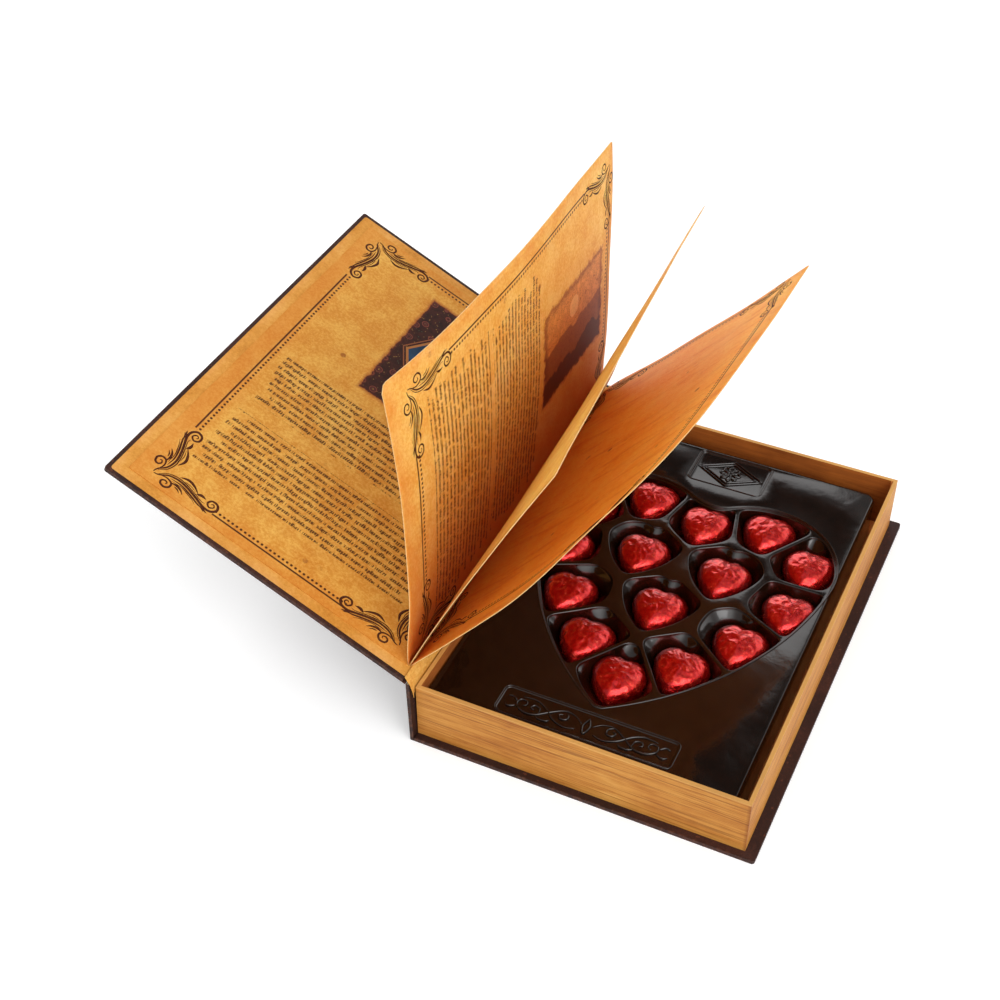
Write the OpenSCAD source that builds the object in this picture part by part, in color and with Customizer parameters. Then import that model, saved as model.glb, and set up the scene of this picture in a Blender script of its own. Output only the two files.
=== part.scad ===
// Book-shaped chocolate box: a wrapped case of three boards round a tray box, open as it is shown,
// with three bound leaves fanned in the gutter and fifteen foil hearts in a moulded tray.
// X runs from the spine to the fore edge, Y from foot to head, Z up from the table.

/* [Case] */
// Width of a cover board, from the spine to the fore edge
cover_width = 176; // [150:1:220]
// Length of the case, from foot to head
cover_length = 258; // [256:1:300]
// Thickness of a wrapped cover board
cover_thickness = 2.2; // [1.6:0.1:3.5]
// Thickness of the wrapped spine board
spine_thickness = 1.8; // [1.4:0.1:2.4]
// Thickness of the wrapping paper
wrap_thickness = 0.3; // [0.2:0.05:0.4]
// Width of wrapping paper turned in over the inner face of a board
turn_in = 14; // [8:1:20]
// Radius of the fore-edge corners of a cover board
cover_corner = 1.5; // [0.5:0.5:3]
// Gap between the spine board and the edges of the cover boards
spine_gap = 0.4; // [0.3:0.05:1]
// Room left for the bend of the paper at each fold
fold_room = 0.1; // [0.05:0.05:0.2]
// Thickness of the lining paper on the inner face of the spine
lining_thickness = 0.2; // [0.1:0.05:0.25]

/* [Opening] */
// Angle of the front cover from its closed place
cover_angle = 154.2; // [20:0.1:185]
// Outward lean of the spine
spine_lean = 1.2; // [0:0.1:6]
// Angle of the first leaf, the one next to the front cover
first_leaf_angle = 91.5; // [15:0.5:140]
// Angle of the second leaf
second_leaf_angle = 66; // [10:0.5:120]
// Angle of the third leaf, the one over the tray
third_leaf_angle = 50; // [5:0.5:100]

/* [Cover lining] */
// Thickness of the endpaper
endpaper_thickness = 0.2; // [0.1:0.05:0.4]
// Wrapping paper left bare round the endpaper
endpaper_margin = 2.2; // [1:0.1:6]
// Thickness of the parchment panel on the endpaper
panel_thickness = 0.6; // [0.3:0.1:1.2]
// Distance from the gutter edge of the cover to the panel
panel_start = 2.8; // [2.6:0.1:8]
// Distance from the panel to the fore edge of the cover
panel_fore_margin = 8.6; // [4:0.1:20]

/* [Leaves] */
// Distance by which a cover board is wider than a leaf
leaf_fore_margin = 16; // [12:1:50]
// Distance from an end of the case to an end of a leaf
leaf_end_margin = 8; // [6:0.5:28]
// Thickness of a leaf
leaf_thickness = 0.4; // [0.3:0.05:0.6]
// Radius of the fore-edge corners of a leaf
leaf_corner = 5; // [1:0.5:12]
// Air between two closed leaves
leaf_gap = 0.15; // [0.1:0.05:0.4]
// Step between the roots of neighbouring leaves, along the cover
root_step = 0.7; // [0.65:0.05:1]
// Thickness of the guard strip that binds the leaves
guard_thickness = 0.25; // [0.2:0.05:0.3]

/* [Box] */
// Overhang of the back cover past the fore edge of the box
fore_overhang = 5.8; // [4:0.1:8]
// Overhang of the back cover past the foot and the head of the box
end_overhang = 4; // [3:0.5:6]
// Height of the box walls above the back cover
wall_height = 33; // [31:1:45]
// Thickness of the box walls
wall_thickness = 2; // [1:0.1:3]
// Thickness of the box floor
floor_thickness = 1.2; // [0.6:0.1:3]
// Distance of the box from the spine edge of the back cover
box_setback = 0.2; // [0.1:0.1:0.6]

/* [Tray] */
// Thickness of the formed sheet
sheet_thickness = 0.6; // [0.4:0.1:0.7]
// Depth of the tray's deck below the rim of the box
deck_drop = 6.5; // [4:0.5:9]
// Gap between the tray and the spine wall
tray_side_gap = 0.6; // [0.5:0.1:2]
// Finger gap between the tray and the fore wall
tray_fore_gap = 6.4; // [5:0.1:8]
// Gap between the tray and the foot wall
tray_foot_gap = 1; // [0.5:0.1:2]
// Finger gap between the tray and the head wall
tray_head_gap = 7.5; // [5:0.5:12]
// Corner radius of the tray
tray_corner = 6; // [3:0.5:12]
// Depth of the ridges between the pockets below the deck
ridge_drop = 1; // [0.8:0.1:2]
// Width of a ridge between two pockets
ridge_width = 1.2; // [1:0.1:2]
// Depth of a pocket below the ridges
pocket_depth = 15; // [13:0.5:16]
// Width of the recessed plate near the head
plate_width = 42; // [30:1:46]
// Length of the recessed plate
plate_length = 26; // [15:1:27]
// Depth of the recessed plate
plate_depth = 1; // [0.5:0.1:2]
// Width of the shallow cartouche near the foot
cartouche_width = 90; // [60:1:110]
// Length of the shallow cartouche
cartouche_length = 17; // [10:1:18]
// Depth of the cartouche
cartouche_depth = 0.5; // [0.3:0.1:0.8]

/* [Hearts] */
// Lobe radius of a foil heart
heart_lobe = 6.9; // [6.5:0.1:7.1]
// Half the distance between its lobe centres
heart_spread = 5.6; // [5.2:0.1:5.8]
// Height of a foil heart
heart_height = 12.5; // [10:0.5:13.5]
// Thickness of the foil wrapper, its pleats pressed flat
foil_thickness = 0.25; // [0.1:0.05:0.4]

/* [Hidden] */
LEAVES = 3;
HEARTS = 15;
function numbered(name, i) = str(name, i < 9 ? "_0" : "_", i + 1);
CASE_NODES = ["back_board", "back_wrap", "bottom_fold", "spine_board", "spine_wrap", "spine_lining",
    "top_fold", "front_board", "front_wrap", "endpaper", "cover_panel", "leaf_guard"];
LEAF_NODES = ["leaf_1", "leaf_2", "leaf_3"];
BOX_NODES = ["box_floor", "foot_wall", "head_wall", "spine_wall", "fore_wall", "tray"];
FOIL_NODES = [for (i = [0:HEARTS - 1]) numbered("foil", i)];
CHOCOLATE_NODES = [for (i = [0:HEARTS - 1]) numbered("chocolate", i)];
$fn = 48;

// One overrun serves every cut
overrun = 1;

// Heights of the closed stack, from the rim of the box up to the outer face of the front cover
rim_z = cover_thickness + wall_height;
stack_height = LEAVES * leaf_thickness + (LEAVES + 1) * leaf_gap + panel_thickness + endpaper_thickness;
cover_inner_z = rim_z + stack_height;
cover_outer_z = cover_inner_z + cover_thickness;
panel_z = cover_inner_z - endpaper_thickness - panel_thickness;

// The two folds, seen along Y: the wrapping paper bends at the outer corners of the spine
gutter_x = -cover_width / 2;
fold_x = gutter_x - spine_gap - spine_thickness;
bottom_fold_z = wrap_thickness;
top_fold_z = cover_outer_z - wrap_thickness;
spine_height = top_fold_z - bottom_fold_z - fold_room;

// Leaf roots in the closed case, each a step nearer to the spine and lower than the one before
guard_x = gutter_x + leaf_gap / 3;
last_root_x = guard_x + guard_thickness + leaf_gap + leaf_thickness / 2;
leaf_pitch = leaf_thickness + leaf_gap;
leaf_angles = [first_leaf_angle, second_leaf_angle, third_leaf_angle];
function root_x(i) = last_root_x + (LEAVES - 1 - i) * root_step;
function root_z(i) = panel_z - leaf_gap - leaf_thickness / 2 - i * leaf_pitch;

leaf_width = cover_width - leaf_fore_margin;
leaf_length = cover_length - 2 * leaf_end_margin;

// The box on the back cover
box_width = cover_width - box_setback - fore_overhang;
box_length = cover_length - 2 * end_overhang;
box_x = gutter_x + box_setback;
box_y = -box_length / 2;
floor_z = cover_thickness + floor_thickness;

// The tray in the box, its own middle line and levels
tray_width = box_width - 2 * wall_thickness - tray_side_gap - tray_fore_gap;
tray_length = box_length - 2 * wall_thickness - tray_foot_gap - tray_head_gap;
tray_x = box_x + wall_thickness + tray_side_gap;
tray_y = box_y + wall_thickness + tray_foot_gap;
tray_middle_x = tray_x + tray_width / 2;
deck_z = rim_z - deck_drop;
ridge_z = deck_z - ridge_drop;
pocket_z = ridge_z - pocket_depth;

// The big heart: its lobes' radius as a share of the tray's width, and the distance of their centres
// from the foot as a share of its length
basin_lobe_share = 0.273;
basin_place_share = 0.6653;
basin_lobe = tray_width * basin_lobe_share;
basin_y = tray_y + tray_length * basin_place_share;

// A heart is four arcs a side: notch fillet, lobe, flank and tip, each radius a share of the lobe's
// [spread, notch fillet, flank, tip] and the angle at which the lobe passes into the flank
basin_spread_share = 0.813;
basin_fillet_share = 0.468;
basin_flank_share = 3.94;
basin_tip_share = 0.124;
basin_flank_start = 6;
heart_fillet_share = 0.38;
heart_flank_share = 3.77;
heart_tip_share = 0.35;
heart_flank_start = 20;

// Places of the hearts from the middle of the big heart's lobe line, as shares of its lobe radius:
// one in the notch, five down each side, one in the tip and three inside
notch_share = [0, 0.488];
side_shares = [[0.767, 0.668], [1.429, 0.242], [1.438, -0.6], [1.083, -1.341], [0.592, -1.977]];
tip_share = [0, -2.396];
inner_shares = [[0.525, -0.33], [-0.525, -0.33], [0, -1.152]];
place_shares = concat([notch_share], side_shares, [tip_share],
    [for (i = [len(side_shares) - 1:-1:0]) [-side_shares[i][0], side_shares[i][1]]], inner_shares);

// Levels of a foil heart: share of its height, share of its outline
level_shares = [[0, 0.84], [0.14, 0.97], [0.5, 1], [0.82, 0.84], [1, 0.5]];
// Outline of a pocket's floor as a share of the heart it holds, of the opening that the gathered
// foil leaves under it, and of a pocket's mouth where it has room
pocket_floor_share = 1.05;
foil_opening_share = 0.22;
ring_mouth_share = 2.15;
inner_mouth_share = 1.9;

// Points per notch fillet, lobe, flank and tip of a pocket
pocket_steps = [2, 6, 4, 2];

// Points of an arc from one angle to another in equal steps
function arc_points(middle, radius, start, end, steps) =
    [for (i = [0:steps]) let (a = start + (end - start) * i / steps)
        middle + radius * [cos(a), sin(a)]];

// All points of a list but its first
function rest_of(points) = [for (i = [1:len(points) - 1]) points[i]];

// Outline of a heart with its lobe centres on Y = 0; inset draws it in evenly, steps is per arc
function heart_outline(lobe, spread, fillet, flank, tip, flank_start, inset, steps) =
    let (notch_y = sqrt(pow(lobe + fillet, 2) - pow(spread, 2)),
         lobe_start = atan2(notch_y, -spread),
         flank_middle = [spread - cos(flank_start) * (flank - lobe), sin(flank_start) * (flank - lobe)],
         tip_y = flank_middle[1] - sqrt(pow(flank - tip, 2) - pow(flank_middle[0], 2)),
         flank_end = atan2(tip_y - flank_middle[1], -flank_middle[0]),
         right = concat(
             arc_points([0, notch_y], fillet + inset, -90, lobe_start - 180, steps[0]),
             rest_of(arc_points([spread, 0], lobe - inset, lobe_start, -flank_start, steps[1])),
             rest_of(arc_points(flank_middle, flank - inset, -flank_start, flank_end, steps[2])),
             rest_of(arc_points([0, tip_y], tip - inset, flank_end, -90, steps[3]))))
    concat(right, [for (i = [len(right) - 2:-1:1]) [-right[i][0], right[i][1]]]);

function raw_heart(inset, steps) =
    heart_outline(heart_lobe, heart_spread, heart_lobe * heart_fillet_share,
        heart_lobe * heart_flank_share, heart_lobe * heart_tip_share, heart_flank_start, inset, steps);

// The foil heart's outline round the middle of its length
heart_ys = [for (p = raw_heart(0, [2, 6, 4, 2])) p[1]];
heart_middle = (max(heart_ys) + min(heart_ys)) / 2;
function small_heart(inset, steps) = [for (p = raw_heart(inset, steps)) p - [0, heart_middle]];

function big_heart(inset) =
    heart_outline(basin_lobe, basin_lobe * basin_spread_share, basin_lobe * basin_fillet_share,
        basin_lobe * basin_flank_share, basin_lobe * basin_tip_share, basin_flank_start, inset,
        [3, 10, 6, 3]);

// Mean of a ring's points
function ring_middle(ring) = [for (p = ring) 1 / len(ring)] * ring;

// Solid through rings of equal count, each a list of points in space, lowest first; floor and roof
// are fans round the middle, which sees every point of a heart
module lofted(rings) {
    count = len(rings[0]);
    last = len(rings) - 1;
    points = [for (ring = rings) each ring, ring_middle(rings[0]), ring_middle(rings[last])];
    sides = [for (k = [0:last - 1], i = [0:count - 1]) let (j = (i + 1) % count)
        each [[k * count + i, k * count + j, (k + 1) * count + i],
              [k * count + j, (k + 1) * count + j, (k + 1) * count + i]]];
    floor_fan = [for (i = [0:count - 1]) [len(points) - 2, (i + 1) % count, i]];
    roof_fan = [for (i = [0:count - 1])
        [len(points) - 1, last * count + i, last * count + (i + 1) % count]];
    polyhedron(points = points, faces = concat(sides, floor_fan, roof_fan));
}

// Rectangle from X = 0 with round corners on its far side
module plate_outline(width, length, corner) {
    translate([0, -length / 2]) square([width - corner, length]);
    translate([0, corner - length / 2]) square([width, length - 2 * corner]);
    for (side = [-1, 1])
        translate([width - corner, side * (length / 2 - corner)]) circle(corner);
}

// Rectangle from its corner with four round corners
module round_rectangle(width, length, corner) {
    translate([corner, 0]) square([width - 2 * corner, length]);
    translate([0, corner]) square([width, length - 2 * corner]);
    for (x = [corner, width - corner], y = [corner, length - corner])
        translate([x, y]) circle(corner);
}

// Greyboard of a cover, outer face down, hinge edge at X = 0: it fills what the wrapping leaves
module board_core(width, thickness, past) {
    translate([-past, 0, wrap_thickness]) linear_extrude(thickness - 2 * wrap_thickness)
        plate_outline(width + past - wrap_thickness, cover_length - 2 * wrap_thickness,
            cover_corner - wrap_thickness);
    translate([-past, turn_in - cover_length / 2, thickness / 2])
        cube([width + past - turn_in, cover_length - 2 * turn_in, thickness / 2 + past]);
}

// Wrapping of a cover: outer face, three edges and the turned-in margin of the inner face
module board_wrap(width, thickness) {
    difference() {
        linear_extrude(thickness) plate_outline(width, cover_length, cover_corner);
        board_core(width, thickness, overrun);
    }
}

// Greyboard and wrapping of the spine, outer face on X = 0, turned in at foot and head
module spine_core(past) {
    translate([wrap_thickness, wrap_thickness - cover_length / 2, -past])
        cube([spine_thickness - 2 * wrap_thickness, cover_length - 2 * wrap_thickness,
            spine_height + 2 * past]);
    translate([spine_thickness / 2, turn_in - cover_length / 2, -past])
        cube([spine_thickness / 2 + past, cover_length - 2 * turn_in, spine_height + 2 * past]);
}

module spine_skin() {
    difference() {
        translate([0, -cover_length / 2, 0]) cube([spine_thickness, cover_length, spine_height]);
        spine_core(overrun);
    }
}

// Frames of the moving pieces: children are drawn in the closed case
module spine_frame() {
    translate([fold_x, 0, bottom_fold_z]) rotate([0, -spine_lean, 0])
        translate([-fold_x, 0, -bottom_fold_z]) children();
}

module cover_frame() {
    spine_frame() translate([fold_x, 0, top_fold_z]) rotate([0, spine_lean - cover_angle, 0])
        translate([-fold_x, 0, -top_fold_z]) children();
}

// A leaf is drawn from its root along +X
module leaf_frame(i) {
    cover_frame() translate([root_x(i), 0, root_z(i)])
        rotate([0, cover_angle - leaf_angles[i], 0]) children();
}

module front_cover_place() {
    cover_frame() translate([gutter_x, 0, cover_outer_z]) mirror([0, 0, 1]) children();
}

module back_board() {
    color("tan") translate([gutter_x, 0, 0]) board_core(cover_width, cover_thickness, 0);
}

module back_wrap() {
    color("saddlebrown") translate([gutter_x, 0, 0]) board_wrap(cover_width, cover_thickness);
}

// Strip of wrapping paper between the back cover and the fold under the spine
module bottom_fold() {
    color("saddlebrown") translate([fold_x + fold_room, -cover_length / 2, 0])
        cube([gutter_x - fold_x - fold_room, cover_length, wrap_thickness]);
}

module spine_board() {
    color("tan") spine_frame() translate([fold_x, 0, bottom_fold_z]) spine_core(0);
}

module spine_wrap() {
    color("saddlebrown") spine_frame() translate([fold_x, 0, bottom_fold_z]) spine_skin();
}

module spine_lining() {
    color("orange") spine_frame()
        translate([fold_x + spine_thickness, -box_length / 2, floor_z])
            cube([lining_thickness, box_length, cover_inner_z - floor_z - wrap_thickness]);
}

// Strip of wrapping paper between the fold over the spine and the front cover
module top_fold() {
    color("saddlebrown") cover_frame()
        translate([fold_x + fold_room, -cover_length / 2, top_fold_z])
            cube([gutter_x - fold_x - fold_room, cover_length, wrap_thickness]);
}

module front_board() {
    color("tan") front_cover_place() board_core(cover_width, cover_thickness, 0);
}

module front_wrap() {
    color("saddlebrown") front_cover_place() board_wrap(cover_width, cover_thickness);
}

module endpaper() {
    color("wheat") front_cover_place() translate([0, 0, cover_thickness])
        linear_extrude(endpaper_thickness)
            plate_outline(cover_width - endpaper_margin, cover_length - 2 * endpaper_margin,
                cover_corner);
}

module cover_panel() {
    color("burlywood") front_cover_place()
        translate([panel_start, 0, cover_thickness + endpaper_thickness])
            linear_extrude(panel_thickness)
                plate_outline(cover_width - panel_start - panel_fore_margin, leaf_length,
                    cover_corner);
}

// Folded strip that binds the leaves: glued beside the panel, its lip stands behind their roots
module leaf_guard() {
    strip_z = cover_inner_z - endpaper_thickness;
    lip_z = root_z(LEAVES - 1) + leaf_thickness / 2;
    color("orange") cover_frame() {
        translate([guard_x, -leaf_length / 2, lip_z])
            cube([guard_thickness, leaf_length, strip_z - lip_z]);
        translate([guard_x, -leaf_length / 2, strip_z - guard_thickness])
            cube([gutter_x + panel_start - guard_x, leaf_length, guard_thickness]);
    }
}

module leaf(i) {
    color("goldenrod") leaf_frame(i) translate([0, 0, -leaf_thickness / 2])
        linear_extrude(leaf_thickness) plate_outline(leaf_width, leaf_length, leaf_corner);
}

module box_floor() {
    color("sienna") translate([box_x + wall_thickness, box_y + wall_thickness, cover_thickness])
        cube([box_width - 2 * wall_thickness, box_length - 2 * wall_thickness, floor_thickness]);
}

// Walls across the foot and the head, the whole width of the box
module end_wall(y) {
    color("peru") translate([box_x, y, cover_thickness])
        cube([box_width, wall_thickness, wall_height]);
}

// Walls along the spine and the fore edge, between the end walls
module side_wall(x) {
    color("peru") translate([x, box_y + wall_thickness, cover_thickness])
        cube([wall_thickness, box_length - 2 * wall_thickness, wall_height]);
}

function is_inner(i) = i >= HEARTS - len(inner_shares);

function heart_place(i) =
    [tray_middle_x + basin_lobe * place_shares[i][0], basin_y + basin_lobe * place_shares[i][1]];

// How far a mouth reaches from its heart along a direction: as far as it may, or half way to each
// neighbour less half a ridge
function mouth_reach(i, direction, may) =
    min([may, for (j = [0:HEARTS - 1]) if (j != i)
        let (across = heart_place(j) - heart_place(i), ahead = direction * across)
        if (ahead > 0) (norm(across) - ridge_width) / 2 * norm(across) / ahead]);

function mouth(i) =
    let (may_share = is_inner(i) ? inner_mouth_share : ring_mouth_share)
    [for (p = small_heart(0, pocket_steps)) let (direction = p / norm(p))
        heart_place(i) + direction * mouth_reach(i, direction, norm(p) * may_share)];

// One drafted pocket, from its floor up to its mouth; grow thickens it for the sheet round it
module pocket(i, grow) {
    floor_ring = [for (p = small_heart(0, pocket_steps))
        heart_place(i) + p * pocket_floor_share + p / norm(p) * grow];
    mouth_ring = [for (p = mouth(i)) let (out = p - heart_place(i)) p + out / norm(out) * grow];
    lofted([[for (p = floor_ring) [p[0], p[1], pocket_z - grow]],
        [for (p = mouth_ring) [p[0], p[1], ridge_z]]]);
}

// The big heart as a prism; grow thickens it for the sheet round it
module basin(grow, low, high) {
    translate([tray_middle_x, basin_y, low]) linear_extrude(high - low) polygon(big_heart(-grow));
}

// Everything the basin and its pockets take out of the tray, or with grow the sheet round them
module basin_and_pockets(grow, high) {
    basin(grow, ridge_z - grow, high);
    intersection() {
        for (i = [0:HEARTS - 1]) pocket(i, grow);
        basin(grow, pocket_z - grow - overrun, ridge_z + overrun);
    }
}

// A shallow recess with round corners, its middle on the tray's middle line
module recess(width, length, depth, y, grow, high) {
    translate([tray_middle_x - width / 2 - grow, y - grow, deck_z - depth - grow])
        linear_extrude(depth + grow + high)
            round_rectangle(width + 2 * grow, length + 2 * grow, tray_corner / 2);
}

plate_y = tray_y + tray_length - tray_corner / 2 - plate_length;
cartouche_y = tray_y + tray_corner;

module recesses(grow, high) {
    recess(plate_width, plate_length, plate_depth, plate_y, grow, high);
    recess(cartouche_width, cartouche_length, cartouche_depth, cartouche_y, grow, high);
}

// Formed tray: deck with a skirt down to the floor, the basin, its pockets and the two recesses
module tray() {
    color("#2b1a12") difference() {
        union() {
            difference() {
                translate([tray_x, tray_y, floor_z]) linear_extrude(deck_z - floor_z)
                    round_rectangle(tray_width, tray_length, tray_corner);
                translate([tray_x + sheet_thickness, tray_y + sheet_thickness, floor_z - overrun])
                    linear_extrude(deck_z - floor_z + overrun - sheet_thickness)
                        round_rectangle(tray_width - 2 * sheet_thickness,
                            tray_length - 2 * sheet_thickness, tray_corner - sheet_thickness);
            }
            basin_and_pockets(sheet_thickness, deck_z);
            recesses(sheet_thickness, 0);
        }
        basin_and_pockets(0, deck_z + overrun);
        recesses(0, overrun);
    }
}

// Rounded heart: rings of one outline, drawn in by inset on every side
module heart_solid(inset) {
    outline = small_heart(inset, [1, 5, 2, 2]);
    lofted([for (level = level_shares) [for (p = outline)
        [p[0] * level[1], p[1] * level[1],
         inset + level[0] * (heart_height - 2 * inset)]]]);
}

module heart_frame(i) {
    place = heart_place(i);
    translate([place[0], place[1], pocket_z]) children();
}

// Thin wrapper pressed round the chocolate, its gathers leave a small opening underneath
module foil(i) {
    color("crimson") heart_frame(i) difference() {
        heart_solid(0);
        heart_solid(foil_thickness);
        translate([0, 0, -overrun]) linear_extrude(2 * overrun)
            polygon(small_heart(0, [1, 3, 1, 1]) * foil_opening_share);
    }
}

module chocolate(i) {
    color("#4a2511") heart_frame(i) heart_solid(foil_thickness);
}

back_board();
back_wrap();
bottom_fold();
spine_board();
spine_wrap();
spine_lining();
top_fold();
front_board();
front_wrap();
endpaper();
cover_panel();
leaf_guard();
for (i = [0:LEAVES - 1]) leaf(i);
box_floor();
end_wall(box_y);  // foot_wall
end_wall(box_y + box_length - wall_thickness);  // head_wall
side_wall(box_x);  // spine_wall
side_wall(box_x + box_width - wall_thickness);  // fore_wall
tray();
for (i = [0:HEARTS - 1]) foil(i);
for (i = [0:HEARTS - 1]) chocolate(i);
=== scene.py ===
import math

import bmesh
import bpy
import numpy as np
from mathutils import Matrix, Vector, geometry, noise


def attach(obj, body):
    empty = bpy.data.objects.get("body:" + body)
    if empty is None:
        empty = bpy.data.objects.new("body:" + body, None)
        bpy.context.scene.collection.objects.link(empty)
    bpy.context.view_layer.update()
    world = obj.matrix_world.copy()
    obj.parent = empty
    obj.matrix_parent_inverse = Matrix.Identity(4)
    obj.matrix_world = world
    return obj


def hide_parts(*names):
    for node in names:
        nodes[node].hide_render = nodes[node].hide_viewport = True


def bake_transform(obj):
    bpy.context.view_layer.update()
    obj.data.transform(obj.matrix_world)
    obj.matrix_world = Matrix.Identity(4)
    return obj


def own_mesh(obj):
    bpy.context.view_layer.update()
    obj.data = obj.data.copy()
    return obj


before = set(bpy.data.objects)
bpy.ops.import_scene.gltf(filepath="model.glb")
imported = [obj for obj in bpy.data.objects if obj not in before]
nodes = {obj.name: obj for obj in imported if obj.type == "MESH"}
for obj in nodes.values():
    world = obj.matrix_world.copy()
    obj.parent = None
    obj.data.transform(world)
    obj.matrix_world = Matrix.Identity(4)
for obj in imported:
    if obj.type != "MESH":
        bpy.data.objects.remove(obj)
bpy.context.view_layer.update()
MM = 0.001

# ---------------- places, in millimetres, at rest
A1 = np.array([-91.0251313, 39.6913589])      # upper fold, X and Z
COVER_ANGLE = 154.2
COVER_W, COVER_HALF, SPINE_X = 176.0, 129.0, 90.0
GUTTER_X, FOLD_X, TOP_FOLD_Z, PANEL_Z = -88.0, -90.2, 39.7, 37.0
LEAF_ROOTS = [(-93.5240313, 44.2870634), (-92.654431, 44.4775769), (-91.7848308, 44.6680905)]
LEAF_ANGLES = [91.5, 66.0, 50.0]
LEAF_W, LEAF_HALF, LEAF_SKIN = 160.0, 121.0, 0.2      # the last is half the card's thickness
BOX_X, BOX_HALF = 82.0, 125.0                         # fore edge of the box, and half its length
RIM_Z, FLOOR_Z, DECK_Z, RIDGE_Z, POCKET_Z = 35.2, 3.4, 28.7, 27.7, 12.7
TRAY_X, TRAY_Y, TRAY_W, TRAY_L, TRAY_CORNER = -85.2, -122.0, 159.0, 237.5, 6.0
LOBE = TRAY_W * 0.273
TRAY_MX, BASIN_Y = TRAY_X + TRAY_W / 2, TRAY_Y + TRAY_L * 0.6653
TRAY_HEAD = TRAY_Y + TRAY_L
PLATE = (TRAY_MX - 21, TRAY_HEAD - 29, TRAY_MX + 21, TRAY_HEAD - 3)
CARTOUCHE = (TRAY_MX - 45, TRAY_Y + 6, TRAY_MX + 45, TRAY_Y + 23)
RECESS_CORNER, PLATE_DROP, CARTOUCHE_DROP = 3, 1.0, 0.5
HEARTS, HEART_H, HEART_LOBE = 15, 12.5, 6.9
HEART_GROWTH = np.array([1.03, 1.19])     # of the crinkled wrapper over the smooth heart
RIDGE_W, TRAY_SKIN, LINING_HALF = 1.2, 0.45, 0.1      # tops between two pockets, and thicknesses
FOIL_CLEAR, CHOC_CLEAR = 0.9, 0.12        # from the wrapper to its pocket's mouth and to the chocolate


def turned(degrees):
    a = math.radians(degrees)
    return np.array([[math.cos(a), -math.sin(a)], [math.sin(a), math.cos(a)]])


COVER_TURN = turned(COVER_ANGLE)


def cover_point(u, v, h):
    """A point over the open cover: u from its gutter edge, v along the spine, h above the panel."""
    xz = A1 + COVER_TURN @ np.array([GUTTER_X + u - FOLD_X, PANEL_Z - h - TOP_FOLD_Z])
    return (xz[0], v, xz[1])


# ---------------- meshes
def make(name, verts, faces, materials, uvs=None, slots=None, smooth=True):
    me = bpy.data.meshes.new(name)
    me.from_pydata([(x * MM, y * MM, z * MM) for x, y, z in verts], [], faces)
    for m in materials:
        me.materials.append(m)
    if slots is not None:
        me.polygons.foreach_set("material_index", slots)
    if uvs is not None:
        layer = me.uv_layers.new(name="sheet")
        loops = np.empty(len(me.loops), int)
        me.loops.foreach_get("vertex_index", loops)
        layer.data.foreach_set("uv", (np.array(uvs, float)[loops] * MM).ravel())
    me.polygons.foreach_set("use_smooth", [smooth] * len(me.polygons))
    me.update()
    ob = bpy.data.objects.new(name, me)
    bpy.context.scene.collection.objects.link(ob)
    return ob


def strip(a, b, count):
    """Quads between two rings of vertices that start at a and b."""
    return [(a + i, a + (i + 1) % count, b + (i + 1) % count, b + i) for i in range(count)]


def two_sided(rows, cols, at):
    """Faces and material slots of a sheet's front, back and rim; at(row, col, side) counts its vertices."""
    faces, slots = [], []
    for i in range(rows - 1):
        for j in range(cols - 1):
            faces += [(at(i, j, 0), at(i + 1, j, 0), at(i + 1, j + 1, 0), at(i, j + 1, 0)),
                (at(i, j + 1, 1), at(i + 1, j + 1, 1), at(i + 1, j, 1), at(i, j, 1))]
            slots += [0, 1]
    rim = ([(i, 0) for i in range(rows - 1)] + [(rows - 1, j) for j in range(cols - 1)]
        + [(i, cols - 1) for i in range(rows - 1, 0, -1)] + [(0, j) for j in range(cols - 1, 0, -1)])
    for (i, j), (m, n) in zip(rim, rim[1:] + rim[:1]):
        faces.append((at(i, j, 1), at(m, n, 1), at(m, n, 0), at(i, j, 0)))
        slots.append(2)
    return faces, slots


def face_out(ob):
    """Turn every face of a closed mesh outwards."""
    bm = bmesh.new()
    bm.from_mesh(ob.data)
    bmesh.ops.recalc_face_normals(bm, faces=bm.faces)
    bm.to_mesh(ob.data)
    bm.free()


def smooth_path(points, per=6):
    """Catmull-Rom curve through the points."""
    p = [np.array(q, float) for q in points]
    p = [2 * p[0] - p[1]] + p + [2 * p[-1] - p[-2]]
    out = []
    for k in range(1, len(p) - 2):
        for i in range(per):
            t = i / per
            out.append(0.5 * ((2 * p[k]) + (p[k + 1] - p[k - 1]) * t
                + (2 * p[k - 1] - 5 * p[k] + 4 * p[k + 1] - p[k + 2]) * t * t
                + (3 * p[k] - p[k - 1] - 3 * p[k + 1] + p[k + 2]) * t ** 3))
    out.append(p[-2])
    return np.array(out)


def arc(c, r, a, b, n):
    t = np.radians(np.linspace(a, b, n + 1))
    return [np.array(c) + r * np.array([math.cos(x), math.sin(x)]) for x in t]


def heart(lobe, spread, fillet, flank, tip, start, inset, n):
    """Heart outline of four arcs a side, its lobe centres on Y = 0, drawn in by inset."""
    notch = math.sqrt((lobe + fillet) ** 2 - spread ** 2)
    beta = math.degrees(math.atan2(notch, -spread))
    a = math.radians(start)
    fm = np.array([spread - math.cos(a) * (flank - lobe), math.sin(a) * (flank - lobe)])
    ty = fm[1] - math.sqrt((flank - tip) ** 2 - fm[0] ** 2)
    end = math.degrees(math.atan2(ty - fm[1], -fm[0]))
    right = (arc([0, notch], fillet + inset, -90, beta - 180, n[0])
        + arc([spread, 0], lobe - inset, beta, -start, n[1])[1:]
        + arc(fm, flank - inset, -start, end, n[2])[1:]
        + arc([0, ty], max(tip - inset, 0.05), end, -90, n[3])[1:])
    return np.array(right + [[-p[0], p[1]] for p in right[-2:0:-1]])


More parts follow.
